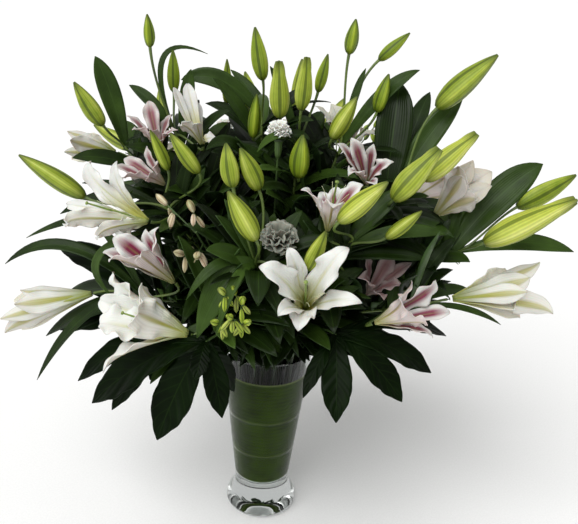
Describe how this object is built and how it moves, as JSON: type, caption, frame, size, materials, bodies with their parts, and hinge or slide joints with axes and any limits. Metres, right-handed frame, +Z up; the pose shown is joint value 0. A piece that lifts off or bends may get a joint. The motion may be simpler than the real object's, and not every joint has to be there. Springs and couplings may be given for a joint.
{
  "type": "vase of lilies",
  "caption": "Tall footed glass vase lined with rolled leaves and filled with water, holding a wide loose bouquet of open lilies, lily buds, palmate leaves, carnations and sprays.",
  "frame": {"origin": "centre of the foot's flat underside, on the surface that the vase stands on", "axes": "+Z up along the vase's axis, -Y towards the bouquet's front, +X to the right seen from the front"},
  "size_m": [0.8749, 0.6, 0.8005],
  "materials": {
    "clear_glass": "polished",
    "water": "polished",
    "liner_leaf": "satin",
    "lily_green": "satin",
    "slim_green": "satin",
    "palm_leaf": "gloss",
    "spray_green": "satin",
    "petal_white": "matte",
    "petal_cream": "matte",
    "petal_pink": "matte",
    "carnation_white": "matte"
  },
  "bodies": {
    "root": {"vase_glass": "clear_glass", "water": "water", "liner_leaf_1": "liner_leaf", "liner_leaf_2": "liner_leaf", "liner_leaf_3": "liner_leaf", "bloom_back": "petal_white", "bloom_back_left": "petal_white", "bloom_back_right": "petal_pink", "bloom_centre_pink": "petal_pink", "bloom_far_left": "petal_cream", "bloom_far_right": "petal_cream", "bloom_front": "petal_white", "bloom_left": "petal_white", "bloom_left_cream": "petal_cream", "bloom_left_high_pink": "petal_pink", "bloom_low_left": "petal_white", "bloom_low_left_pink": "petal_pink", "bloom_low_right_pink": "petal_pink", "bloom_right_cream": "petal_cream", "bloom_right_inner_pink": "petal_pink", "bloom_top_left": "petal_white", "bloom_top_left_pink": "petal_pink", "bloom_top_right_cream": "petal_cream", "bloom_upper_right_pink": "petal_pink", "carnation_back": "carnation_white", "carnation_back_stem": "slim_green", "carnation_middle": "carnation_white", "carnation_middle_stem": "slim_green", "carnation_upper": "carnation_white", "carnation_upper_stem": "slim_green", "palm_leaf_back": "palm_leaf", "palm_leaf_back_left": "palm_leaf", "palm_leaf_back_right": "palm_leaf", "palm_leaf_front_left": "palm_leaf", "palm_leaf_front_right": "palm_leaf", "palm_leaf_left": "palm_leaf", "spray_back": "spray_green", "spray_front": "spray_green", "spray_left": "spray_green", "stem_back": "lily_green", "stem_back_left": "lily_green", "stem_back_right": "lily_green", "stem_centre": "lily_green", "stem_centre_right": "lily_green", "stem_front": "lily_green", "stem_front_left": "lily_green", "stem_left": "lily_green", "stem_low_left": "lily_green", "stem_low_right": "lily_green", "stem_right": "lily_green", "stem_right_upper": "lily_green", "stem_top": "lily_green", "stem_top_left": "lily_green", "stem_top_middle": "lily_green", "stem_top_right": "lily_green", "stem_upper_left": "lily_green"}
  },
  "joints": []
}
